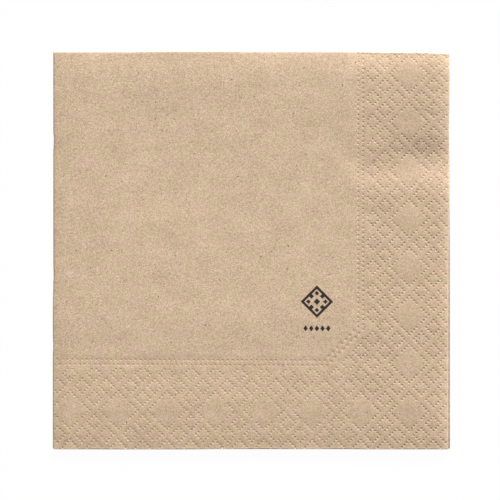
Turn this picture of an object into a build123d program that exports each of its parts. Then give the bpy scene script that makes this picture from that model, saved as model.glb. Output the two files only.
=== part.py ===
from build123d import *
import os

# Square paper napkin, folded in half twice, with an embossed border.
# +X points to the right cut edges, +Y to the first fold, +Z up.
# The origin is the middle of the underside. Lengths are millimetres.

# Open sheet
sheet_side = 330.0
sheet_thickness = 0.28

# Air left between the folded leaves
leaf_gap = 0.35
pair_gap = 0.4

# How far the inner leaves reach past the outer ones at the right front corner
leaf_slip = 0.5

# Worn roundings of the two front corners
left_corner_radius = 0.9
right_corner_radius = 0.5

# Bevel pressed on the corner where the two folds meet
pressed_corner = 0.25

# Embossing: the blank place at the corner is the start of the pattern
corner_blank_from_right = 17.08
corner_blank_from_front = 15.58

# Pitch of the dots on the embossing roll, along +X and along +Y
dot_pitch = 1.005

# Diamonds of the border, in dots
diamond_spacing = 5
diamond_dots = 3

# Border, in diamonds: each side of its middle, between blanks, and across its inner corner
band_diamonds = 3
diamonds_per_blank = 4
corner_diamonds = 9

# Double line that closes the border on its inner side, in dots from the corner blank
outer_line_dots = 19
outer_turn_dots = 34
inner_line_dots = 21
inner_turn_dots = 35

# A diamond centred up to this far past a fold still shows its near half
fold_overrun = 1.0

# Section of a pressed line, which ends this clear of the rounded folds
groove_width = 0.9
groove_depth = 0.16
fold_clearance = 0.1

# How far a cutter stands out of the face it cuts
cutter_rise = 0.05

# Places that follow from the sizes: two folds halve the sheet each way
half_folded = sheet_side / 4
pair_height = 2 * sheet_thickness + leaf_gap
first_fold_radius = pair_height / 2
second_fold_radius = pair_height + pair_gap / 2
total_height = 2 * second_fold_radius
fold_x = -half_folded + second_fold_radius
flat_left = fold_x + fold_clearance
flat_back = half_folded - first_fold_radius - fold_clearance
blank_x = half_folded - corner_blank_from_right
blank_y = -half_folded + corner_blank_from_front
lattice_pitch = diamond_spacing * dot_pitch
diamond_reach = diamond_dots * dot_pitch
diamonds_across = round(2 * half_folded / lattice_pitch)


def pair_section():
    """Two leaves joined by the round first fold, as a flat hairpin."""
    straight = 2 * half_folded - first_fold_radius
    end = Pos(half_folded - first_fold_radius, first_fold_radius)
    align = (Align.MAX, Align.CENTER)
    outside = end * Rectangle(straight, pair_height, align=align) + end * Circle(first_fold_radius)
    inside = end * Rectangle(straight, leaf_gap, align=align) + end * Circle(leaf_gap / 2)
    return outside - inside


def spine_section():
    """The same pair where the second fold presses the first one to a bevelled end."""
    back = Pos(half_folded, first_fold_radius)
    align = (Align.MAX, Align.CENTER)
    outside = back * Rectangle(2 * half_folded, pair_height, align=align)
    outside = chamfer(outside.vertices().group_by(Axis.X)[-1], pressed_corner)
    inner_back = back * Pos(-sheet_thickness, 0)
    inside = inner_back * Rectangle(2 * half_folded - sheet_thickness, leaf_gap, align=align)
    return outside - inside


def folded_sheet():
    """The hairpin pair, carried round the second fold and back over itself."""
    fold_plane = Plane.YZ.offset(fold_x)
    fold_axis = Axis((fold_x, 0, second_fold_radius), (0, 1, 0))
    lower = extrude(fold_plane * pair_section(), amount=half_folded - fold_x)
    spine = revolve(fold_plane * spine_section(), axis=fold_axis, revolution_arc=180)
    upper = mirror(lower, about=Plane.XY.offset(second_fold_radius))
    return lower + spine + upper


def slip_cutters():
    """What the right edges of the upper pair lack: a strip off the top leaf and a
    wedge off the leaf under it, since the first fold ties the two at the back."""
    back = (half_folded, half_folded)
    front = (half_folded, -half_folded)
    short_back = (half_folded - leaf_slip, half_folded)
    strip = Rectangle(leaf_slip, 2 * half_folded, align=(Align.MAX, Align.CENTER))
    wedge = make_face(Polyline(back, short_back, front, close=True))
    between_leaves = total_height - sheet_thickness - leaf_gap / 2
    top = extrude(Pos(half_folded, 0, between_leaves) * strip, amount=pair_height)
    under = extrude(Pos(0, 0, second_fold_radius) * wedge, amount=between_leaves - second_fold_radius)
    return [top, under]


def corner_cutter(side, radius):
    """What a rounding takes off a front corner of the stack: side is -1 at the left."""
    corner = Pos(side * half_folded, -half_folded, 0)
    inward = (Align.MIN, Align.MIN) if side < 0 else (Align.MAX, Align.MIN)
    square = Rectangle(radius, radius, align=inward)
    disc = Pos(-side * radius, radius) * Circle(radius)
    return corner * extrude(square - disc, amount=total_height)


def groove(*points, closed=False):
    """V-shaped cutter that follows a path drawn on the upper face."""
    path = Polyline(*points, close=closed)
    tangent = path % 0
    across = tangent.cross(Vector(0, 0, 1))
    plane = Plane(origin=path @ 0, x_dir=across, z_dir=tangent)
    half_top = groove_width / 2 * (1 + cutter_rise / groove_depth)
    corners = ((-half_top, -cutter_rise), (half_top, -cutter_rise), (0, groove_depth))
    section = plane * make_face(Polyline(*corners, close=True))
    return sweep(section, path=path, transition=Transition.RIGHT).clean()


def diamond():
    """Closed diamond, begun halfway along a side so that all four tips are mitred."""
    reach = diamond_reach
    middle = (reach / 2, -reach / 2)
    return groove(middle, (reach, 0), (0, reach), (-reach, 0), (0, -reach), closed=True)


def open_diamond():
    """Diamond without its left tip, where the double line passes."""
    reach = diamond_reach
    gap = groove_width
    start = (-reach + gap, gap)
    finish = (-reach + gap, -gap)
    return groove(start, (0, reach), (reach, 0), (0, -reach), finish)


def chevron():
    """The right half of a diamond."""
    reach = diamond_reach
    return groove((0, reach), (reach, 0), (0, -reach))


def in_border(column, row):
    """Whether a lattice place lies in the L-shaped border or its chamfered inner corner."""
    in_band = column >= -band_diamonds or row <= band_diamonds
    return in_band or row - column <= corner_diamonds


def blank_direction(column, row):
    """Quarter turns from the next blank to this place, or nothing if no blank adjoins."""
    for quarter, (step_x, step_y) in enumerate(((1, 0), (0, 1), (-1, 0), (0, -1))):
        blank_column = column - step_x
        blank_row = row - step_y
        on_right = blank_column == 0 and blank_row >= 0 and blank_row % diamonds_per_blank == 0
        on_front = blank_row == 0 and blank_column <= 0 and blank_column % diamonds_per_blank == 0
        if on_right or on_front:
            return quarter
    return None


def line_cutter(offset_dots, turn_dots):
    """One of the two lines along the inner side of the border, across its chamfered corner."""
    line_x = blank_x - offset_dots * dot_pitch
    line_y = blank_y + offset_dots * dot_pitch
    turn_right = (line_x, blank_y + turn_dots * dot_pitch)
    turn_front = (blank_x - turn_dots * dot_pitch, line_y)
    return groove((line_x, flat_back), turn_right, turn_front, (flat_left, line_y))


def clear_of_folds(cutter):
    """The part of a cutter over the flat field, short of the rounded folds."""
    field = Rectangle(2 * half_folded, 2 * half_folded, align=(Align.MIN, Align.MAX))
    box = extrude(Pos(flat_left, flat_back) * field, amount=groove_depth + cutter_rise, both=True)
    return cutter & box


def border_cutters():
    """All pressed lines of one face, at the height of the face."""
    full = diamond()
    halves = [Rot(0, 0, 90 * quarter) * chevron() for quarter in range(4)]
    open_left = open_diamond()
    open_up = Rot(0, 0, -90) * open_left
    cutters = [
        line_cutter(outer_line_dots, outer_turn_dots),
        line_cutter(inner_line_dots, inner_turn_dots),
    ]
    span = diamond_reach + groove_width
    limit = half_folded + fold_overrun
    for column in range(-diamonds_across, band_diamonds + 1):
        for row in range(-band_diamonds, diamonds_across + 1):
            x = blank_x + column * lattice_pitch
            y = blank_y + row * lattice_pitch
            past_fold = x < -limit or y > limit
            if (column + row) % 2 == 0 or past_fold or not in_border(column, row):
                continue
            quarter = blank_direction(column, row)
            if quarter is not None:
                shape = halves[quarter]
            elif column == -band_diamonds and row * diamond_spacing > inner_turn_dots:
                shape = open_left
            elif row == band_diamonds and -column * diamond_spacing > inner_turn_dots:
                shape = open_up
            else:
                shape = full
            cutter = Pos(x, y) * shape
            if x - span < flat_left or y + span > flat_back:
                cutter = clear_of_folds(cutter)
            cutters.append(cutter)
    return [Pos(0, 0, total_height) * cutter for cutter in cutters]


middle_plane = Plane.XY.offset(second_fold_radius)
upper_cutters = border_cutters() + slip_cutters()
lower_cutters = [mirror(cutter, about=middle_plane) for cutter in upper_cutters]
corner_cutters = [
    corner_cutter(-1, left_corner_radius),
    corner_cutter(1, right_corner_radius),
]
napkin = folded_sheet() - corner_cutters
napkin = napkin - (upper_cutters + lower_cutters)

os.makedirs("parts", exist_ok=True)
export_step(napkin, "parts/napkin.step")
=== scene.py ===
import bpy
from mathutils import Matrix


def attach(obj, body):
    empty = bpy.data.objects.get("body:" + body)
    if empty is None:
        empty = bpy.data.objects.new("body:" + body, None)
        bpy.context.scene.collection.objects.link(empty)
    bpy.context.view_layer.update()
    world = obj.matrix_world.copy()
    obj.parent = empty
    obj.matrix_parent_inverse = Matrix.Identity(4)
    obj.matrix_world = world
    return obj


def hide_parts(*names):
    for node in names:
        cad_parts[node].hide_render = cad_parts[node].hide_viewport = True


bl_info = {
    "name": "Embossed Paper Napkin",
    "version": (1, 0, 0),
    "blender": (4, 5, 0),
    "location": "View3D > Sidebar > Napkin",
    "description": "Folds a sheet of embossed kraft tissue into a resting quarter-folded napkin",
    "category": "Object",
}

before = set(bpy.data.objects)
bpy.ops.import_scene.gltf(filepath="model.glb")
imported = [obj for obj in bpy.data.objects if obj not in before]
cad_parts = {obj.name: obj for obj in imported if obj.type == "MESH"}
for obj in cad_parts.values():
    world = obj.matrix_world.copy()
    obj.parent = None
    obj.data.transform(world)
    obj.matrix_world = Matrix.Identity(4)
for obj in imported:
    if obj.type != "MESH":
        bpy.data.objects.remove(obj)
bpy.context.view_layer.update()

import math

import bpy
import numpy as np
from bpy.props import FloatProperty, FloatVectorProperty, IntProperty, PointerProperty
from bpy.types import Operator, Panel, PropertyGroup
from mathutils.kdtree import KDTree

MM = 0.001


# Settings


def amount(name, description, default, **more):
    """A number that a user may set."""
    return FloatProperty(name=name, description=description, default=default, **more)


def length(name, description, default, precision=5):
    """A length that a user may set, with its default in millimetres."""
    return amount(name, description, default * MM, unit="LENGTH", precision=precision)


def point(name, description, default, precision=5):
    """A pair of lengths along X and Y, with its default in millimetres."""
    return FloatVectorProperty(
        name=name, description=description, size=2,
        default=[each * MM for each in default],
        subtype="XYZ", unit="LENGTH", precision=precision,
    )


def colour(name, description, default):
    """A colour that a user may set."""
    return FloatVectorProperty(
        name=name, description=description,
        size=3, subtype="COLOR", min=0, max=1, default=default,
    )


def angle(name, description, default):
    """An angle that a user may set, with its default in degrees."""
    return amount(name, description, math.radians(default), subtype="ANGLE")


def whole(name, description, default, least=0):
    """A whole number that a user may set."""
    return IntProperty(name=name, description=description, default=default, min=least)


class SheetSettings(PropertyGroup):
    """Sizes of the open sheet and of the folded stack."""

    open_side: length("Open side", "Side of the square sheet before it is folded", 330, precision=4)
    thickness: length("Leaf thickness", "Thickness of one leaf, both plies together", 0.28)
    leaf_gap: length("Air in a pair", "Air between the two leaves that the first fold joins", 0.35)
    pair_gap: length("Air between pairs", "Air between the upper and the lower pair of leaves", 0.4)
    slip: length("Leaf slip", "How far the outer leaves fall short at the right cut edge", 0.7)
    front_slip: length("Front slip", "How far the top leaf falls short at the front cut edge", 0.3)
    left_corner: length(
        "Left corner radius", "Worn rounding of the front corner on the second fold", 0.9,
    )
    right_corner: length(
        "Right corner radius", "Worn rounding of the front corner between the cut edges", 0.8,
    )
    row_fold_steps: whole(
        "Steps of the first fold", "Facets on each half of the round first fold", 5, least=2,
    )
    column_fold_steps: whole(
        "Steps of the second fold", "Facets on each half of the round second fold", 7, least=2,
    )


class EmbossingSettings(PropertyGroup):
    """The dots that the embossing roll presses into both outer leaves, counted in dots."""

    pitch: point(
        "Dot pitch",
        "Distance from dot to dot along the front edge and along the right edge",
        (1.0059, 1.0011), precision=6,
    )
    origin: point(
        "Corner blank", "Place of the blank that the pattern starts from", (65.51, -66.98),
    )
    askew: angle("Askew", "How far the rows of dots are turned against the front edge", 0.28)
    repeat: whole("Diamond repeat", "Dots from one diamond to the next", 10)
    ring: whole("Diamond ring", "Dots from a diamond's middle to its tip", 3)
    band: whole("Border width", "Dots from the corner blank to the last diamonds", 15)
    corner: whole("Border corner", "Where the chamfered inner corner of the border lies", 45)
    blank_every: whole("Blank spacing", "Dots from one blank diamond to the next", 20)
    blank_half: whole("Blank size", "Dots from a blank's middle to its tip", 7)
    inner_line: whole("Inner line", "Dots from the corner blank to the inner of the two lines", 21)
    inner_turn: whole("Inner turn", "Where the inner line turns into the chamfer", 35)
    outer_line: whole("Outer line", "Dots from the corner blank to the outer of the two lines", 19)
    outer_turn: whole("Outer turn", "Where the outer line turns into the chamfer", 34)
    depth: amount(
        "Dot depth",
        "Depth of a pressed dot under its rim, as a share of the leaf's thickness",
        0.355, subtype="FACTOR", min=0.0, max=0.4,
    )
    draw: amount(
        "Draw",
        "How far the paper round a dot sags with it, as a share of the thickness",
        0.48, subtype="FACTOR", min=0.0, max=0.5,
    )
    rim: amount("Dot rim", "Radius of a dot's rim, in pitches", 0.495)
    floor: amount("Dot floor", "Radius of a dot's floor, in pitches", 0.13)


class LieSettings(PropertyGroup):
    """How the limp stack lies: soft swells and creases of the leaves."""

    field: length("Field", "How far the plain field stands above the flat stack", 0.66)
    front_fall: length(
        "Front fall", "How far the leaves sink from the field to the front cut edge", 0.95,
    )
    left_fall: length("Left fall", "How far the leaves sink from the field to the second fold", 0.7)
    border_bulk: length(
        "Border bulk", "How much higher the four embossed leaves lie along the right edge", 0.29,
    )
    right_fall: length("Right fall", "How far the leaves bend down at the right cut edge", 0.5)
    trough: length("Trough", "Depth of the soft crease across the right border", 1.06)
    ripple: length(
        "Ripple", "Height of the faint unevenness all over the sheet", 0.033, precision=6,
    )
    front_curl: length("Front curl", "How far the front cut edge curls up", 0.055)
    right_curl: length("Right curl", "How far the top leaf bends down at its right cut edge", 0.2)
    second_curl: length(
        "Second curl", "How far the leaf under the top one curls up where it reaches past it", 0.34,
    )


class TissueSettings(PropertyGroup):
    """Colours of the kraft tissue, of the shade painted on its first fold and of its printed
    ornament.
    """

    kraft: colour("Kraft", "Colour of the tissue", (0.611, 0.453, 0.309))
    fibre: colour("Fibre", "Colour of the darkest fibres and flecks", (0.17, 0.1, 0.055))
    # Painted shade: the greyer colour laid half over the round first fold at the back edge
    painted_fold_shade: colour("Worn", "Colour of the shade-painted first fold", (0.52, 0.46, 0.40))
    ink: colour("Ink", "Colour of the printed ornament", (0.02, 0.013, 0.011))
    ornament: point("Ornament", "Middle of the printed ornament on the top leaf", (27.2, -21.4))
    ornament_half: length("Ornament half", "From the ornament's middle to its tip", 6.8)
    row_half: length("Row half", "Half the length of the row of small lozenges", 5.9)


class StudioSettings(PropertyGroup):
    """Lamp, even light and camera."""

    view_width: length("View width", "Width of floor that the camera sees", 207.8, precision=4)
    view_middle: point("View middle", "Place that the camera looks straight down on", (-0.57, 0.23))
    camera_height: amount(
        "Camera height", "Distance from the floor to the camera", 3.0, unit="LENGTH",
    )
    key: amount("Key", "Strength of the key lamp", 7.15)
    key_elevation: angle("Key elevation", "Height of the key lamp above the horizon", 18)
    key_side: angle("Key side", "Turn of the key lamp from straight behind towards the right", 15)
    key_width: angle("Key width", "Angle that the key lamp's disc fills", 11)
    fill: amount("Fill", "Strength of the even light from all round", 0.3)


# Node building


def math_node(operation, reflected=False):
    """A method of Value that adds a Math node. Its reflected form makes 1 - mask work."""
    def method(self, *others):
        values = (*others, self) if reflected else (self, *others)
        return self.tree.add("ShaderNodeMath", {"operation": operation}, dict(enumerate(values)))

    return method


class Value:
    """A socket of a node tree. Python arithmetic on it adds Math nodes."""

    __add__ = __radd__ = math_node("ADD")
    __sub__ = math_node("SUBTRACT")
    __rsub__ = math_node("SUBTRACT", reflected=True)
    __mul__ = __rmul__ = math_node("MULTIPLY")
    __truediv__ = math_node("DIVIDE")
    __rtruediv__ = math_node("DIVIDE", reflected=True)
    __pow__ = math_node("POWER")
    __mod__ = math_node("FLOORED_MODULO")
    __abs__ = math_node("ABSOLUTE")
    __lt__ = math_node("LESS_THAN")
    __gt__ = math_node("GREATER_THAN")
    floor = math_node("FLOOR")
    rounded = math_node("ROUND")
    most = math_node("MAXIMUM")
    compare = math_node("COMPARE")

    def __init__(self, tree, socket):
        self.tree = tree
        self.socket = socket

    def __neg__(self):
        return self * -1

    def output(self, name):
        """Another output of the same node."""
        return Value(self.tree, self.socket.node.outputs[name])

    def equals(self, other):
        """1 where two whole numbers are the same, and otherwise 0."""
        tolerance = 0.25
        return self.compare(other, tolerance)

    def ramp(self, low, high):
        """0 at low, 1 at high and smooth between, whichever of them is larger."""
        values = {"Value": self, "From Min": low, "From Max": high}
        return self.tree.add("ShaderNodeMapRange", {"interpolation_type": "SMOOTHSTEP"}, values)


class Tree:
    """Adds nodes to a node tree."""

    def __init__(self, node_tree):
        self.nodes = node_tree.nodes
        self.links = node_tree.links

    def add(self, kind, settings=None, values=None, output=0):
        """Adds a node of a type, with its settings and the values or links of its sockets."""
        node = self.nodes.new(kind)
        for name, setting in (settings or {}).items():
            setattr(node, name, setting)
        for name, value in (values or {}).items():
            socket = node.inputs[name]
            if isinstance(value, Value):
                self.links.new(value.socket, socket)
            else:
                socket.default_value = value
        return Value(self, node.outputs[output]) if node.outputs else node

    def vector(self, operation, *values):
        """A Vector Math node of these values."""
        return self.add("ShaderNodeVectorMath", {"operation": operation}, dict(enumerate(values)))

    def join(self, *geometries):
        """One geometry of several."""
        node = self.nodes.new("GeometryNodeJoinGeometry")
        for geometry in reversed(geometries):
            self.links.new(geometry.socket, node.inputs[0])
        return Value(self, node.outputs[0])


# The sheet's cells


def around(x0, y0, x1, y1):
    """The whole places along the sides of a rectangle, counter-clockwise."""
    places = [(x, y0) for x in range(x0, x1)]
    places += [(x1, y) for y in range(y0, y1)]
    places += [(x, y1) for x in range(x1, x0, -1)]
    return places + [(x0, y) for y in range(y1, y0, -1)]


class Cells:
    """The sheet laid out flat, in dots: columns run across the second fold and rows
    across the first. Side A is the outer side of the paper, at height 0, and side B
    is at height -1, one leaf thickness below. A cell's corners are in parts of a dot."""

    # Parts of a dot, least way from the last dots to the right edge, and a dot's own reach
    PARTS = 4
    EDGE_MARGIN = 0.8
    DOT_REACH = 0.45

    def __init__(self, sheet, embossing):
        self.sheet = sheet
        self.embossing = embossing
        self.half = sheet.open_side / 4
        self.pair = sheet.thickness * 2 + sheet.leaf_gap
        self.column_radius = self.pair + sheet.pair_gap / 2
        self.axis_x = self.column_radius - self.half
        self.axis_y = self.half - self.pair / 2
        origin_x, origin_y = embossing.origin
        pitch_x, pitch_y = embossing.pitch
        before = (self.axis_x - origin_x) / pitch_x
        across = (self.half - sheet.slip - origin_x) / pitch_x
        behind = (origin_y - self.axis_y) / pitch_y
        along = (self.half + origin_y) / pitch_y
        self.first_column = math.floor(before + 0.5) - 0.5
        self.last_column = math.floor(across - self.EDGE_MARGIN) + 1.5
        self.first_row = math.floor(behind + 0.5) - 0.5
        self.last_row = round(along - 0.5) + 0.5
        self.fold_columns = sheet.column_fold_steps
        self.fold_rows = sheet.row_fold_steps
        self.columns = self.fold_columns + round(self.last_column - self.first_column)
        self.rows = self.fold_rows + round(self.last_row - self.first_row)
        self.slanted = self.turning_dots()

    def turning_dots(self):
        """Dots of the two slanted lines, which lie off the lattice."""
        roll = self.embossing
        found = []
        inner = (roll.inner_line, roll.inner_turn, 8)
        outer = (roll.outer_line, roll.outer_turn, 9)
        for line, turn, spaces in (inner, outer):
            for number in range(1, spaces):
                share = number / spaces
                found.append((-line + (line - turn) * share, -turn + (turn - line) * share))
        return found

    def lattice(self, column, row):
        """Dots from the corner blank, of a place on an outer leaf."""
        u = abs(column) - self.fold_columns + self.first_column
        v = abs(row) - self.fold_rows + self.first_row
        return u, v

    def finest(self, x0, y0, x1, y1, side_a):
        """The longest sides, in dots, that a cell may have in this rectangle."""
        middle_column = (x0 + x1) / 2 / self.PARTS
        middle_row = -(y0 + y1) / 2 / self.PARTS
        outer = middle_row > 0
        upper = middle_column > 0
        if abs(middle_row) < self.fold_rows or abs(middle_column) < self.fold_columns:
            return (2, 2) if side_a and upper else (4, 4)
        reach_u = (x1 - x0) / 2 / self.PARTS
        reach_v = (y1 - y0) / 2 / self.PARTS
        u, v = self.lattice(middle_column, middle_row)
        near_left = u - self.first_column - reach_u < 1
        near_right = self.last_column - u - reach_u < 1
        near_front = self.last_row - v - reach_v < 1
        near_back = v - self.first_row - reach_v < 1
        least = 1 / self.PARTS
        if upper and near_right and outer == side_a:
            return (least, least) if outer and near_front else (least, 1)
        if not (outer and side_a):
            return (4, 4) if upper else (8, 8)
        if upper:
            if near_front and (near_right or near_left):
                return least, least
            for dot_u, dot_v in self.slanted:
                across = abs(dot_u - u) - reach_u
                along = abs(dot_v - v) - reach_v
                if max(across, along) < self.DOT_REACH:
                    return least, least
        roll = self.embossing
        every = roll.blank_every
        for fixed, running in ((u, v), (v, u)):
            nearest = abs((running + every / 2) % every - every / 2)
            if abs(fixed) + nearest + reach_u + reach_v < roll.blank_half + self.DOT_REACH:
                return 2, 2
        edge = -roll.inner_line - 1
        corner = -2 * roll.inner_line - roll.band
        if u + reach_u > edge or v + reach_v > edge or u + reach_u + v + reach_v > corner:
            return 1, 1
        return (2, 2) if upper or near_left or near_back else (8, 8)

    def split(self, rectangle, side_a, found):
        """Divides a rectangle until no cell is longer than it may be."""
        x0, y0, x1, y1 = rectangle
        wide = x1 - x0
        high = y1 - y0
        most_wide, most_high = (most * self.PARTS for most in self.finest(x0, y0, x1, y1, side_a))
        if wide <= most_wide and high <= most_high:
            found.append(rectangle)
        elif high <= most_high or (wide > most_wide and wide >= high):
            unit = self.PARTS if wide > self.PARTS else 1
            middle = x0 + max(unit, wide // 2 // unit * unit)
            self.split((x0, y0, middle, y1), side_a, found)
            self.split((middle, y0, x1, y1), side_a, found)
        else:
            unit = self.PARTS if high > self.PARTS else 1
            middle = y0 + max(unit, high // 2 // unit * unit)
            self.split((x0, y0, x1, middle), side_a, found)
            self.split((x0, middle, x1, y1), side_a, found)

    def side(self, side_a):
        """All cells of one side of the sheet."""
        parts = self.PARTS
        strips = []
        for folds, count in ((self.fold_columns, self.columns), (self.fold_rows, self.rows)):
            found = [(-count * parts, -folds * parts)]
            found += [(number * parts, (number + 1) * parts) for number in range(-folds, folds)]
            found += [(folds * parts, count * parts)]
            strips.append(found)
        cells = []
        for x0, x1 in strips[0]:
            for y0, y1 in strips[1]:
                self.split((x0, y0, x1, y1), side_a, cells)
        return cells

    def mesh(self):
        """The flat sheet as one closed mesh. Whole cells of the outer leaves, which may
        take a dot, are marked."""
        places = []
        faces = []
        marked = []
        index = {}
        fold_x = self.fold_columns * self.PARTS
        fold_y = self.fold_rows * self.PARTS
        end_x = self.columns * self.PARTS
        end_y = self.rows * self.PARTS
        for z in (0, -1):
            cells = self.side(z == 0)
            for x0, y0, x1, y1 in cells:
                for x, y in ((x0, y0), (x1, y0), (x1, y1), (x0, y1)):
                    if (x, y, z) not in index:
                        index[x, y, z] = len(places)
                        places.append((x / self.PARTS, y / self.PARTS, z))
            for x0, y0, x1, y1 in cells:
                walk = [(*place, z) for place in around(x0, y0, x1, y1)]
                loop = [index[place] for place in walk if place in index]
                faces.append(loop if z == 0 else loop[::-1])
                one_dot = x1 - x0 == self.PARTS and y1 - y0 == self.PARTS
                outer = y1 <= -fold_y and min(abs(x0), abs(x1)) >= fold_x
                marked.append(z == 0 and one_dot and outer and len(loop) == 4)
        border = around(-end_x, -end_y, end_x, end_y)
        corners = [
            number for number, place in enumerate(border)
            if (*place, -1) in index and (*place, 0) in index
        ]
        for number, start in enumerate(corners):
            stop = corners[(number + 1) % len(corners)]
            stretch = border[start:stop + 1] if stop > start else border[start:] + border[:stop + 1]
            upper = [index[*place, 0] for place in stretch if (*place, 0) in index]
            lower = [index[*place, -1] for place in stretch if (*place, -1) in index]
            faces.append(lower + upper[::-1])
            marked.append(False)
        mesh = bpy.data.meshes.new("open sheet")
        mesh.from_pydata(places, [], faces)
        mark = mesh.attributes.new("one_dot", "FLOAT", "FACE")
        mark.data.foreach_set("value", np.array(marked, dtype=np.float32))
        mesh.update()
        return mesh


def dot_tile(name, sides, rim, floor):
    """A unit square with a pressed dot of depth 1 at its middle. A rim of eight sides
    goes down to a square floor and a rim of four sides to a point."""
    corners = [(-0.5, -0.5, 0), (0.5, -0.5, 0), (0.5, 0.5, 0), (-0.5, 0.5, 0)]

    def ring(count, radius, height):
        turns = [-0.75 * math.pi + math.tau * number / count for number in range(count)]
        return [(radius * math.cos(turn), radius * math.sin(turn), height) for turn in turns]

    faces = []
    first_rim = 4
    first_low = first_rim + sides
    for corner in range(4):
        after = (corner + 1) % 4
        near = first_rim + corner * sides // 4
        far = first_rim + after * sides // 4
        if sides == 4:
            faces += [[corner, after, far, near], [near, far, first_low]]
        else:
            middle = near + 1
            low = first_low + corner
            far_low = first_low + after
            faces += [[corner, after, middle], [corner, middle, near], [after, far, middle]]
            faces += [[near, middle, low], [middle, far_low, low], [middle, far, far_low]]
    if sides == 4:
        bottom = [(0, 0, -1)]
    else:
        bottom = ring(4, floor, -1)
        faces.append([first_low + corner for corner in range(4)])
    mesh = bpy.data.meshes.new(name)
    mesh.from_pydata(corners + ring(sides, rim, 0) + bottom, [], faces)
    return bpy.data.objects.new(name, mesh)


CELL_SIZES = ("Fold columns", "Fold rows", "First column", "First row")
ROLL_SIZES = (
    "Repeat", "Ring", "Band", "Corner", "Blank every", "Blank half",
    "Inner line", "Inner turn", "Outer line", "Outer turn", "Depth",
)


def sizes_of(source, names):
    """The values that the cells or the settings keep under these names of inputs."""
    return {name: float(getattr(source, name.lower().replace(" ", "_"))) for name in names}


def embossing_tree():
    """Geometry nodes that put a pressed dot into every cell that the pattern names."""
    group = bpy.data.node_groups.new("Embossed border", "GeometryNodeTree")
    sizes = CELL_SIZES + ROLL_SIZES

    def socket(name, kind, in_out="INPUT"):
        group.interface.new_socket(name=name, in_out=in_out, socket_type="NodeSocket" + kind)

    socket("Sheet", "Geometry")
    for name in sizes:
        socket(name, "Float")
    for name in ("Fine dot", "Plain dot"):
        socket(name, "Object")
    socket("Paper", "Material")
    socket("Napkin", "Geometry", "OUTPUT")
    tree = Tree(group)
    sheet = tree.add("NodeGroupInput", output="Sheet")
    size = {name: sheet.output(name) for name in sizes}

    place = tree.add("GeometryNodeInputPosition")
    column = tree.add("ShaderNodeSeparateXYZ", None, {0: place})
    u = (abs(column) - size["Fold columns"] + size["First column"]).rounded()
    v = (abs(column.output("Y")) - size["Fold rows"] + size["First row"]).rounded()

    # Dots counted square to the sides of the diamonds, which repeat both ways
    p = u + v
    q = u - v
    repeat = size["Repeat"]
    across = abs(p % repeat - repeat / 2)
    along = abs(q % repeat - repeat / 2)
    ring = across.most(along).equals(size["Ring"])
    middle_p = (p / repeat).floor() * repeat + repeat / 2
    middle_q = (q / repeat).floor() * repeat + repeat / 2
    middle_u = (middle_p + middle_q) / 2
    middle_v = (middle_p - middle_q) / 2
    in_band = middle_u.most(middle_v) > -0.5 - size["Band"]
    in_corner = middle_p > -0.5 - size["Corner"]

    def beside_blank(fixed, running):
        every = size["Blank every"]
        nearest = abs((running + every / 2) % every - every / 2)
        return abs(fixed) + nearest > size["Blank half"] - 0.5

    def past_lines(fixed, running):
        beyond = (running < 0.5 - size["Inner turn"]) * (fixed < 1.5 - size["Outer line"])
        return 1 - beyond

    diamonds = ring * in_band.most(in_corner)
    diamonds = diamonds * beside_blank(u, v) * beside_blank(v, u)
    diamonds = diamonds * past_lines(u, v) * past_lines(v, u)

    def double_line(fixed, running):
        odd = abs(running) % 2
        inner = fixed.equals(-size["Inner line"]) * (running < 0.5 - size["Inner turn"]) * odd
        outer = fixed.equals(-size["Outer line"]) * (running < 0.5 - size["Outer turn"]) * (1 - odd)
        return inner + outer

    dots = diamonds + double_line(u, v) + double_line(v, u)
    settings = {"data_type": "FLOAT"}
    one_dot = tree.add("GeometryNodeInputNamedAttribute", settings, {"Name": "one_dot"})
    dots = (dots > 0.5) * (one_dot > 0.5)

    values = {"Mesh": sheet, "Selection": dots}
    places = tree.add("GeometryNodeMeshToPoints", {"mode": "FACES"}, values)
    values = {"Geometry": sheet, "Selection": dots}
    plain = tree.add("GeometryNodeDeleteGeometry", {"domain": "FACE"}, values)
    faintest = 0.7
    deepest = 1.12
    seed = 7
    values = {2: faintest, 3: deepest, 8: seed}
    uneven = tree.add("FunctionNodeRandomValue", settings, values, 1)
    values = {"X": 1.0, "Y": 1.0, "Z": size["Depth"] * uneven}
    size_of_dot = tree.add("ShaderNodeCombineXYZ", None, values)
    pressed = []
    for name, chosen in (("Fine dot", column > 0), ("Plain dot", column < 0)):
        tile = tree.add("GeometryNodeObjectInfo", None, {"Object": sheet.output(name)}, "Geometry")
        values = {"Points": places, "Selection": chosen, "Instance": tile, "Scale": size_of_dot}
        pressed.append(tree.add("GeometryNodeInstanceOnPoints", None, values))
    dots_mesh = tree.add("GeometryNodeRealizeInstances", None, {"Geometry": tree.join(*pressed)})
    weld = 0.01
    values = {"Geometry": tree.join(plain, dots_mesh), "Distance": weld}
    merged = tree.add("GeometryNodeMergeByDistance", None, values)
    merged = tree.add("GeometryNodeRealizeInstances", None, {"Geometry": merged})
    values = {"Geometry": merged, "Material": sheet.output("Paper")}
    finished = tree.add("GeometryNodeSetMaterial", None, values)
    result = group.nodes.new("NodeGroupOutput")
    group.links.new(finished.socket, result.inputs["Napkin"])
    return group


# How it is folded


def smooth(value):
    """0 below 0, 1 above 1 and a smooth step between."""
    share = np.clip(value, 0, 1)
    return share * share * (3 - 2 * share)


def step(value, start, end):
    """0 at start, 1 at end and smooth between, whichever of them is larger."""
    return smooth((value - start) / (end - start))


def bell(value, middle, width):
    """A soft swell of height 1 round its middle."""
    return np.exp(-((value - middle) / width) ** 2)


def profile(place, points):
    """A smooth curve through a few (place, height) points, level past both ends."""
    starts, heights = np.array(points, dtype=float).T
    left = np.clip(np.searchsorted(starts, place) - 1, 0, len(starts) - 2)
    share = step(place, starts[left], starts[left + 1])
    return heights[left] + (heights[left + 1] - heights[left]) * share


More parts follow.
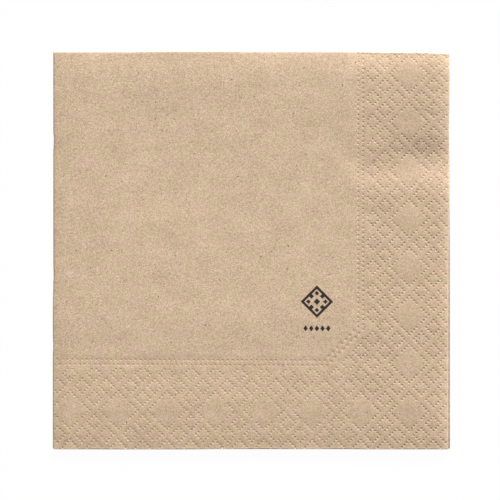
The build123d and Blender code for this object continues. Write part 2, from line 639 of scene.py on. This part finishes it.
def trough(x, y, half, lie):
    """The soft crease across the right border, with a short near side, toward the front,
    and a longer far side. Places are in millimetres."""
    course = (
        (30, 46), (35, 43.4), (39, 40), (43.5, 35.4),
        (48, 34.4), (58, 36.9), (65, 38), (half, 39),
    )
    deepening = ((31, 0), (36, 0.1), (42, 0.28), (48, 0.5), (57, 0.8), (65, 1))
    far_lip = (
        (31, 0), (39, 0.45), (47, 0.37), (56, 0.62), (64, 0.95), (75, 1.1), (half, 0.83),
    )
    near_length = profile(x, ((35, 8), (47, 11), (57, 14), (65, 15.5)))
    ahead = y - profile(x, course)
    near_side = 1 - smooth(-ahead / near_length)
    far_side = 0.6 * step(ahead, 0, 11) + 0.4 * step(ahead, 4, 25)
    depth = lie.trough * profile(x, deepening)
    return -depth * near_side + profile(x, far_lip) * MM * far_side


def small_creases(x, y, half):
    """The mark of a fold in the left half, the dent by the left back corner and the ridge
    that the first fold raises along the back. Places are in millimetres."""
    mark = step(x, -54.5, -49) * step(x, 12, -48) * step(y, 10, 22) * step(y, 69, 55)
    slanted = y - 0.7 * (x + 81)
    dent = step(slanted, 47, 40.5) * step(slanted, 5, 43) * step(x, -71, -80)
    ridge = profile(x, ((-52, 0), (-44, 1), (-8, 1), (0, 0.3))) * step(y, half - 2.4, half)
    return -0.25 * MM * mark - 0.26 * MM * dent + 0.035 * MM * ridge


def rise(x, y, half, lie):
    """How far the top leaf stands above the flat stack at a place, in metres."""
    x = x / MM
    y = y / MM
    half = half / MM

    back_drops = (
        (-half, 0.21), (-72, 0.4), (-62, 0.62), (-42, 0.46), (-22, 0.33),
        (0, 0.7), (22, 0.78), (36, 0.95), (50, 1.42), (66, 1.25), (half, 1.4),
    )
    to_back = np.clip((half - y) / 12.5, 0, 1)
    back = -profile(x, back_drops) * (1 - to_back) ** 2.1 * MM
    front = -lie.front_fall * (
        0.31 * step(y, -27, -46) + 0.1 * step(y, -45, -70)
        + 0.21 * step(y, -62, -76) + 0.42 * np.clip((-69 - y) / 13.5, 0, 1) ** 2.6
    )
    left = -lie.left_fall * (0.75 * step(x, 6 - half, -half) + 0.25 * step(x, 30 - half, -half))
    left = left * profile(y, ((-half, 1.0), (-5, 1.0), (30, 0.5), (half, 0.3)))
    right = lie.border_bulk * step(x, 38, 56) - lie.right_fall * step(x, half - 5, half - 0.5)
    waves = (
        np.sin(0.31 * x + 0.11 * y + 0.4) * np.sin(0.07 * x - 0.23 * y + 1.9)
        + 0.7 * np.sin(0.52 * y - 0.18 * x + 2.6) * np.sin(0.12 * x + 0.29 * y)
        + 0.4 * np.sin(0.83 * x + 0.35 * y + 1.1) * np.sin(0.21 * x - 0.77 * y + 0.6)
    )
    height = lie.field + back + front + left + right + lie.ripple * waves
    height = height + trough(x, y, half, lie) + small_creases(x, y, half)
    lowest = -0.85 * MM
    softness = 0.1 * MM
    return lowest + softness * np.logaddexp(0, (height - lowest) / softness)


def corner_lift(from_side, radius):
    """How far a rounded corner lies in from the front edge, this far from its side edge."""
    inside = np.clip(radius - from_side, 0, radius)
    return radius - np.sqrt(np.maximum(0, radius ** 2 - inside ** 2))


def folded(cells, lie, places):
    """Takes places of the flat sheet, in dots and leaf thicknesses, to the folded napkin."""
    sheet = cells.sheet
    half = cells.half
    row_radius = (cells.pair - sheet.thickness) / 2
    column_radius = cells.column_radius
    columns = places[:, 0]
    rows = -places[:, 1]

    # Places on the lattice, stretched to meet the right and front cut edges
    turn = np.clip(rows / cells.fold_rows, -1, 1) * math.pi / 2
    swing = np.clip(columns / cells.fold_columns, -1, 1) * math.pi / 2
    u, v = cells.lattice(columns, rows)
    pitch_x, pitch_y = cells.embossing.pitch
    origin_x, origin_y = cells.embossing.origin
    skew = np.tan(cells.embossing.askew) * u * pitch_x
    flat_x = origin_x + u * pitch_x
    flat_y = origin_y - v * pitch_y - skew
    right_gap = half - sheet.slip - origin_x - cells.last_column * pitch_x
    front_gap = -half - origin_y + cells.last_row * pitch_y + skew
    flat_x = flat_x + right_gap * np.clip(u - cells.last_column + 1, 0, 1)
    flat_y = flat_y + front_gap * step(v, cells.last_row - 7, cells.last_row)
    run_x = np.where(np.abs(columns) > cells.fold_columns, np.maximum(0, flat_x - cells.axis_x), 0)
    run_y = np.where(np.abs(rows) > cells.fold_rows, np.maximum(0, cells.axis_y - flat_y), 0)

    def carried(out):
        """Places this far outside the middle of the leaf, carried round both folds."""
        y = cells.axis_y + (row_radius + out) * np.cos(turn) - run_y
        depth = cells.pair / 2 - (row_radius + out) * np.sin(turn)
        x = cells.axis_x - (column_radius - depth) * np.cos(swing) + run_x
        z = column_radius + (column_radius - depth) * np.sin(swing)
        return x, y, z

    x, y, z = carried(sheet.thickness * (0.5 + places[:, 2]))
    middle_x, middle_y, middle_z = carried(0)
    between_outer = 2 * column_radius - sheet.thickness
    level = np.clip((middle_z - sheet.thickness / 2) / between_outer, 0, 1)

    # The right edges of the inner and outer leaves slip apart toward the front
    inner = step(rows, 0, -cells.fold_rows)
    upper = step(columns, 0, cells.fold_columns)
    top = step(rows, 0, cells.fold_rows) * upper
    apart = profile(y / MM, ((-half / MM, 1.0), (-33, 0.9), (-8, 0.75), (21, 0.05), (half / MM, 0)))
    splay = sheet.slip * (inner * (0.7 + 0.3 * apart) + (1 - inner) * 0.7 * (1 - apart))
    splay = splay - 0.2 * MM * bell(y / MM, 50, 9)
    x = x + splay * step(x, half - 12 * MM, half - 2 * MM)

    # The front and back edges aren't quite straight, and the top leaf is drawn back
    drawn = sheet.front_slip * (0.75 + 0.25 * np.sin(x / MM * 0.19 + 0.7)) * top
    y = y + drawn * step(y, 12 * MM - half, 2 * MM - half)
    back_edge = (
        (-79, 0.12), (-50, 0.12), (-41, 0.27), (-8, 0.27), (0, 0.14),
        (25, 0.2), (46, 0.08), (56, -0.12), (70, -0.2), (79, -0.5),
    )
    y = y + profile(x / MM, back_edge) * MM * step(y, half - 5 * MM, half)
    front_edge = ((-82, 0.06), (-45, 0.1), (-25, 0.08), (-15, -0.03), (38, -0.02), (50, 0.07))
    y = y - profile(x / MM, front_edge) * MM * step(y, 5 * MM - half, -half)

    # The second fold is pressed tighter than round, and both front corners are worn
    x = x - 0.4 * (x + half) * step(x + half, 4 * MM, 0)
    from_left = x + half
    y = y + corner_lift(from_left, sheet.left_corner) * step(y, 2.5 * MM - half, -half)
    from_right = half - sheet.slip * (1 - inner) - x
    y = y + corner_lift(from_right, sheet.right_corner) * step(y, 1.5 * MM - half, -half)

    # Small dents of the second fold: places along it and depths, in millimetres
    x = x + 0.2 * MM * step(y / MM, -24, -14) * step(from_left, 7 * MM, 0)
    for at, deep in ((45.7, 0.28), (-9.8, 0.14), (-39.3, 0.18)):
        x = x + deep * MM * bell(y / MM, at, 2.6) * step(from_left, 4 * MM, 0)

    # The lie of the whole stack and the curl of its cut edges
    wobble = 0.7 + 0.3 * np.sin(middle_x / MM * 0.63 + 0.5) * np.sin(middle_x / MM * 0.17)
    lip = step(middle_y, 1.25 * MM - half, 0.05 * MM - half)
    z = z + level * (rise(middle_x, middle_y, half, lie) + lie.front_curl * wobble * lip)
    from_right = half - sheet.slip - middle_x
    z = z - lie.right_curl * top * step(from_right, 0.5 * MM, 0)
    dashes = 0.85 + 0.15 * np.sin(middle_y / MM * 2.15) + 0.15 * np.sin(middle_y / MM * 1.27 + 1.0)
    bare = np.clip(1 - from_right / (sheet.slip * np.maximum(apart, 0.1)), 0, 1)
    z = z + lie.second_curl * dashes * inner * upper * apart * bare * (2 - bare)
    return np.column_stack((x, y, z))


def unrolled(cells, places):
    """Where places lie on the open sheet, in millimetres from its middle, where the folds
    cross, with the height over side A last."""
    u, v = cells.lattice(places[:, 0], places[:, 1])
    pitch_x, pitch_y = cells.embossing.pitch
    origin_x, origin_y = cells.embossing.origin
    flat_x = cells.half + origin_x + u * pitch_x
    flat_y = cells.half - origin_y + v * pitch_y
    found = []
    for count, steps, flat, curved in (
        (places[:, 0], cells.fold_columns, flat_x, cells.column_radius),
        (-places[:, 1], cells.fold_rows, flat_y, cells.pair / 2),
    ):
        in_fold = np.abs(count) / steps * curved
        away = np.where(np.abs(count) > steps, np.maximum(flat, curved), in_fold)
        found.append(np.sign(count) * away / MM)
    return np.column_stack((*found, places[:, 2] * cells.sheet.thickness / MM))


def top_places(cells, places):
    """Which places lie on the outer face of the top leaf or in its dots."""
    outer = (places[:, 0] > cells.fold_columns) & (-places[:, 1] > cells.fold_rows)
    return outer & (places[:, 2] > -0.99)


def press_slanted_dots(cells, places):
    """Presses the dots of the slanted lines, which are shallower than the others, into
    the fine cells under them."""
    depth = cells.embossing.depth * 0.7
    floor = cells.embossing.floor * 0.8
    on_top = top_places(cells, places)
    u, v = cells.lattice(places[:, 0], -places[:, 1])
    for dot_u, dot_v in cells.slanted:
        away = np.hypot(u - dot_u, v - dot_v)
        wall = 1 - step(away, floor, cells.embossing.rim)
        places[:, 2] -= np.where(on_top, depth * wall, 0)


def draw_round_dots(cells, places):
    """Draws the paper of the top leaf softly down round every pressed dot. All of this
    embossing is weaker left of the right border. Lengths are in dots."""
    reach = 1.25
    weaker = 0.25
    right_border = 34
    blend = 10

    on_top = top_places(cells, places)
    pressed = on_top & (places[:, 2] < -0.01)
    centres = [tuple(centre) for centre in np.unique(np.floor(places[pressed, :2]), axis=0) + 0.5]
    for u, v in cells.slanted:
        column = u - cells.first_column + cells.fold_columns
        row = v - cells.first_row + cells.fold_rows
        centres.append((column, -row))
    nearest = KDTree(len(centres))
    for centre in centres:
        nearest.insert((*centre, 0), 0)
    nearest.balance()

    chosen = np.flatnonzero(on_top)
    away = np.array([nearest.find((x, y, 0))[2] for x, y in places[chosen, :2]])
    chosen = chosen[away < reach]
    drawn = cells.embossing.draw * (1 - smooth(away[away < reach] / reach))
    u = cells.lattice(places[chosen, 0], places[chosen, 1])[0]
    border_end = cells.last_column - right_border
    share = 1 - weaker * step(u, border_end, border_end - blend)
    places[chosen, 2] = (places[chosen, 2] - drawn) * share


# The finish


class PaperTree(Tree):
    """Patterns of the tissue. They read the place on the open sheet, in millimetres, so
    that grain and print follow the paper round the folds."""

    def __init__(self, node_tree):
        super().__init__(node_tree)
        self.paper = self.add("ShaderNodeAttribute", {"attribute_name": "sheet"}, None, "Vector")

    def noise(self, scale, detail, roughness=0.5, offset=0.0):
        moved = self.vector("ADD", self.paper, (offset, offset * 0.7, offset * 1.3))
        values = {"Vector": moved, "Scale": scale, "Detail": detail, "Roughness": roughness}
        return self.add("ShaderNodeTexNoise", None, values)

    def fibres(self, scale, long, wide, share, offset):
        """Sparse straight flecks, each turned its own way: 1 on a fleck."""
        moved = self.vector("ADD", self.paper, (offset, offset * 1.7, 0.0))
        flat = self.vector("MULTIPLY", moved, (scale, scale, 0.0))
        settings = {"voronoi_dimensions": "2D", "feature": "F1"}
        values = {"Vector": flat, "Scale": 1.0}
        cell = self.add("ShaderNodeTexVoronoi", settings, values, "Color")
        away = self.vector("SUBTRACT", flat, cell.output("Position"))
        luck = self.add("ShaderNodeSeparateXYZ", None, {0: cell})
        values = {"Vector": away, "Angle": luck * math.tau}
        turned = self.add("ShaderNodeVectorRotate", {"rotation_type": "Z_AXIS"}, values)
        along = self.add("ShaderNodeSeparateXYZ", None, {0: turned})
        across = along.output("Y")
        far = (abs(along) / (long * scale)) ** 2 + (abs(across) / (wide * scale)) ** 2
        chosen = luck.output("Y") < share
        return far.ramp(1.0, 0.35) * chosen * (0.2 + luck.output("Z") ** 3 * 0.8)

    def mix(self, factor, first, second):
        """The second colour over the first, where factor is 1."""
        colour_a = 6
        colour_b = 7
        values = {0: factor}
        for socket, value in ((colour_a, first), (colour_b, second)):
            values[socket] = value if isinstance(value, Value) else (*value, 1.0)
        return self.add("ShaderNodeMix", {"data_type": "RGBA"}, values, 2)

    def ornament(self, x, y, tissue):
        """The printed lozenge with its small lozenges inside and the row in front of it:
        1 in the ink, with an edge that wavers."""
        bleed = (self.noise(2.2, 3.0, 0.6, 57.0) - 0.5) * 0.35

        def lozenge(x, y, half_width, half_height=None):
            edge = 1 - (abs(x) / half_width + abs(y) / (half_height or half_width))
            return (edge * half_width + bleed).ramp(-0.12, 0.2)

        reach = tissue.ornament_half / MM
        third = reach / 3
        line = 1.5
        outline = lozenge(x, y, reach) - lozenge(x, y, reach - line)
        petals = lozenge(abs(x) - third, abs(y) - third, third * 0.5)
        petals = petals.most(lozenge(x, y, third * 0.62))
        petals = petals.most(lozenge(abs(x) - third * 1.55, y, third * 0.45))
        petals = petals.most(lozenge(x, abs(y) - third * 1.55, third * 0.45))

        row_reach = tissue.row_half / MM
        row_place = 11.1
        row_half_height = 1.35
        spacing = row_reach / 2.5
        row_x = (x + spacing * 10.5) % spacing - spacing / 2
        row = lozenge(row_x, y - row_place, spacing * 0.42, row_half_height) * (abs(x) < row_reach)
        return outline.most(petals).most(row)


def bare_tree(item):
    """The emptied node tree of a new material or world."""
    item.use_nodes = True
    item.node_tree.nodes.clear()
    return item.node_tree


def tissue_material(sheet, tissue):
    """Kraft tissue with clouds, fibres and a printed ornament, with light painted round the second
    fold and along the cut edges, and shade painted round the first fold.
    """
    material = bpy.data.materials.new("kraft tissue")
    tree = PaperTree(bare_tree(material))

    clouds = tree.noise(0.09, 2.0, 0.5) - 0.5
    warm = tree.noise(0.15, 3.0, 0.6, 31.0) - 0.5
    patches = tree.noise(0.4, 3.0, 0.6, 77.0) - 0.5
    mottle = tree.noise(1.1, 4.0, 0.62, 11.0) - 0.5
    grain = tree.noise(2.2, 2.0, 0.7, 5.0) - 0.5
    small_dark = tree.fibres(0.8, 0.35, 0.18, 0.12, 17.0) * 0.45
    dark = tree.fibres(0.42, 0.7, 0.25, 0.1, 3.0).most(small_dark)
    pale = tree.fibres(0.6, 1.3, 0.14, 0.5, 41.0)

    # Places on the open sheet, in millimetres, where the cut edges lie at edge
    on_sheet = tree.add("ShaderNodeSeparateXYZ", None, {0: tree.paper})
    sheet_y = on_sheet.output("Y")
    half = sheet.open_side / 4 / MM
    edge = 2 * half
    across = abs(on_sheet)
    along = abs(sheet_y)
    border = across.most(along).ramp(edge - 40, edge - 37)
    # Painted light: a paler band round the second fold, whose rounded side falls into shade
    painted_light_on_second_fold = 1 - across.ramp(0.6, 1.15)
    # Painted shade: a greyer band round the first fold along the back edge
    painted_shade_on_first_fold = 1 - along.ramp(0.25, 0.8)
    on_outside = on_sheet.output("Z") > -0.55 * sheet.thickness / MM

    tone = clouds * 0.2 + patches * 0.07 + (mottle * 0.54 + grain * 1.42) * (1 - border * 0.16)
    # The painted light round the second fold is added to the tone here
    tone = tone + pale * 0.15 + painted_light_on_second_fold * 0.2 - border * 0.03
    base = tissue.kraft
    cool = (base[0] * 0.984, base[1] * 1.01, base[2] * 0.965)
    rosy = (base[0] * 1.016, base[1] * 0.99, base[2] * 1.035)
    lightening = (base[0], base[1] * 1.14, base[2] * 1.35)
    shade = tree.mix(warm.ramp(-0.25, 0.25), cool, rosy)
    shade = tree.vector("MULTIPLY_ADD", lightening, tone, shade)
    shade = tree.mix(dark * 0.9, shade, tissue.fibre)

    # Painted highlight: a paler band along the cut edges of the outer faces, patchy with the mottle
    painted_edge_highlight = across.ramp(edge - 3.0, edge - 1.2) * 0.15
    painted_edge_highlight = painted_edge_highlight.most(along.ramp(edge - 0.95, edge - 0.35) * 0.09)
    painted_edge_highlight = painted_edge_highlight * on_outside * (1 + mottle * 1.9)
    shade = tree.vector("MULTIPLY_ADD", lightening, painted_edge_highlight, shade)
    # Painted shade: the round first fold is greyed half way to its painted colour
    shade = tree.mix(painted_shade_on_first_fold * 0.5, shade, tissue.painted_fold_shade)

    x = on_sheet - (tissue.ornament[0] / MM + half)
    y = sheet_y - (half - tissue.ornament[1] / MM)
    ink = tree.ornament(x, y, tissue) * on_outside
    cover = (tree.noise(1.7, 3.0, 0.7, 73.0) - 0.5).ramp(-0.3, 0.0) * 0.12 + 0.9
    shade = tree.mix(ink * cover, shade, tissue.ink)

    crepe = tree.noise(1.5, 5.0, 0.62, 91.0) * 0.6 + tree.noise(4.5, 3.0, 0.6, 23.0) * 0.3
    crepe_height = 0.115 * MM
    bumps = crepe * (1 - border * 0.32) + dark * 0.1 - pale * 0.05
    values = {"Strength": 1.0, "Distance": crepe_height, "Height": bumps}
    normal = tree.add("ShaderNodeBump", None, values)
    values = {
        "Base Color": shade,
        "Roughness": 0.9 + (grain * 0.1) - ink * 0.12,
        "Normal": normal,
        "Specular IOR Level": 0.2,
        "Sheen Weight": 0.08,
        "Sheen Roughness": 0.6,
    }
    surface = tree.add("ShaderNodeBsdfPrincipled", None, values)
    tree.add("ShaderNodeOutputMaterial", None, {"Surface": surface})
    return material


def seen_share(tree):
    """1 for what the camera sees, in a mirror or through glass too, and 0 for lighting."""
    path = tree.add("ShaderNodeLightPath", None, None, "Is Camera Ray")
    return path.most(path.output("Is Glossy Ray")).most(path.output("Is Transmission Ray"))


def floor_material():
    """White floor that keeps a faint shadow and looks white in reflections."""
    material = bpy.data.materials.new("white floor")
    tree = Tree(bare_tree(material))
    whiteness = 0.97
    lit = tree.add("ShaderNodeBsdfDiffuse", None, {"Color": (0.9, 0.9, 0.9, 1.0)})
    white = tree.add("ShaderNodeEmission", None, {"Color": (1.0, 1.0, 1.0, 1.0), "Strength": 1.0})
    values = {0: seen_share(tree) * whiteness, 1: lit, 2: white}
    surface = tree.add("ShaderNodeMixShader", None, values)
    tree.add("ShaderNodeOutputMaterial", None, {"Surface": surface})
    return material


# Operators


class NAPKIN_OT_fold_sheet(Operator):
    """Emboss, fold and lay down the tissue sheet"""

    bl_idname = "napkin.fold_sheet"
    bl_label = "Fold the Sheet"
    bl_options = {"REGISTER", "UNDO"}

    def execute(self, context):
        scene = context.scene
        sheet = scene.napkin_sheet
        embossing = scene.napkin_embossing
        cells = Cells(sheet, embossing)
        flat = bpy.data.objects.new("flat_sheet", cells.mesh())
        scene.collection.objects.link(flat)
        fine_floor = embossing.floor * 1.2
        plain_rim = embossing.rim * 0.9
        fine = dot_tile("fine_dot", 8, embossing.rim, fine_floor)
        plain = dot_tile("plain_dot", 4, plain_rim, embossing.floor)
        material = tissue_material(sheet, scene.napkin_tissue)
        values = {
            **sizes_of(cells, CELL_SIZES),
            **sizes_of(embossing, ROLL_SIZES),
            "Fine dot": fine,
            "Plain dot": plain,
            "Paper": material,
        }
        group = embossing_tree()
        modifier = flat.modifiers.new("Embossed border", "NODES")
        modifier.node_group = group
        for item in group.interface.items_tree:
            if item.name in values:
                modifier[item.identifier] = values[item.name]
        graph = context.evaluated_depsgraph_get()
        mesh = bpy.data.meshes.new_from_object(flat.evaluated_get(graph))
        flat.modifiers.remove(modifier)
        scene.collection.objects.unlink(flat)
        for spare in (flat, fine, plain):
            bpy.data.objects.remove(spare)

        places = np.empty(len(mesh.vertices) * 3)
        mesh.vertices.foreach_get("co", places)
        places = places.reshape(-1, 3)
        draw_round_dots(cells, places)
        press_slanted_dots(cells, places)
        on_sheet = unrolled(cells, places)
        mesh.vertices.foreach_set("co", folded(cells, scene.napkin_lie, places).ravel())
        mesh.attributes.remove(mesh.attributes["one_dot"])
        mark = mesh.attributes.new("sheet", "FLOAT_VECTOR", "POINT")
        mark.data.foreach_set("vector", on_sheet.astype(np.float32).ravel())
        sharpest = math.radians(62)
        mesh.shade_smooth()
        mesh.set_sharp_from_angle(angle=sharpest)
        mesh.update()
        napkin = bpy.data.objects.new("folded_napkin", mesh)
        scene.collection.objects.link(napkin)
        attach(napkin, "root")
        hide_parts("napkin")
        return {"FINISHED"}


class NAPKIN_OT_set_studio(Operator):
    """Set the white floor, the low lamp, the even light and the camera overhead"""

    bl_idname = "napkin.set_studio"
    bl_label = "Set the Studio"
    bl_options = {"REGISTER", "UNDO"}

    def execute(self, context):
        scene = context.scene
        studio = scene.napkin_studio
        wide = 6.0
        corners = [(-wide, -wide, 0), (wide, -wide, 0), (wide, wide, 0), (-wide, wide, 0)]
        mesh = bpy.data.meshes.new("floor")
        mesh.from_pydata(corners, [], [(0, 1, 2, 3)])
        mesh.materials.append(floor_material())
        floor = bpy.data.objects.new("floor", mesh)
        scene.collection.objects.link(floor)

        lamp = bpy.data.lights.new("key", "SUN")
        lamp.energy = studio.key
        lamp.angle = studio.key_width
        key = bpy.data.objects.new("key", lamp)
        key.rotation_euler = (math.pi / 2 - studio.key_elevation, 0, math.pi - studio.key_side)
        scene.collection.objects.link(key)

        world = bpy.data.worlds.new("studio")
        tree = Tree(bare_tree(world))
        seen = seen_share(tree)
        values = {"Color": (1.0, 1.0, 1.0, 1.0), "Strength": seen + (1 - seen) * studio.fill}
        white = tree.add("ShaderNodeBackground", None, values)
        tree.add("ShaderNodeOutputWorld", None, {"Surface": white})
        scene.world = world

        data = bpy.data.cameras.new("overhead")
        data.sensor_width = 36.0
        data.lens = data.sensor_width * studio.camera_height / studio.view_width
        data.clip_start = 0.1
        data.clip_end = 50.0
        camera = bpy.data.objects.new("overhead", data)
        camera.location = (*studio.view_middle, studio.camera_height)
        scene.collection.objects.link(camera)
        scene.camera = camera
        scene.view_settings.view_transform = "Standard"
        return {"FINISHED"}


class NAPKIN_PT_panel(Panel):
    """Napkin tools in the sidebar"""

    bl_idname = "NAPKIN_PT_panel"
    bl_label = "Paper Napkin"
    bl_space_type = "VIEW_3D"
    bl_region_type = "UI"
    bl_category = "Napkin"

    def draw(self, context):
        layout = self.layout
        for name in SETTINGS:
            group = getattr(context.scene, name)
            box = layout.box()
            for prop in group.bl_rna.properties:
                if prop.identifier not in {"rna_type", "name"}:
                    box.prop(group, prop.identifier)
        for operator in (NAPKIN_OT_fold_sheet, NAPKIN_OT_set_studio):
            layout.operator(operator.bl_idname)


SETTINGS = {
    "napkin_sheet": SheetSettings,
    "napkin_embossing": EmbossingSettings,
    "napkin_lie": LieSettings,
    "napkin_tissue": TissueSettings,
    "napkin_studio": StudioSettings,
}
CLASSES = (*SETTINGS.values(), NAPKIN_OT_fold_sheet, NAPKIN_OT_set_studio, NAPKIN_PT_panel)


def register():
    for item in CLASSES:
        bpy.utils.register_class(item)
    for name, settings in SETTINGS.items():
        setattr(bpy.types.Scene, name, PointerProperty(type=settings))


def unregister():
    for name in SETTINGS:
        delattr(bpy.types.Scene, name)
    for item in reversed(CLASSES):
        bpy.utils.unregister_class(item)


def main():
    register()
    bpy.ops.napkin.fold_sheet()
    bpy.ops.napkin.set_studio()
    bpy.context.view_layer.update()


if __name__ == "__main__":
    main()
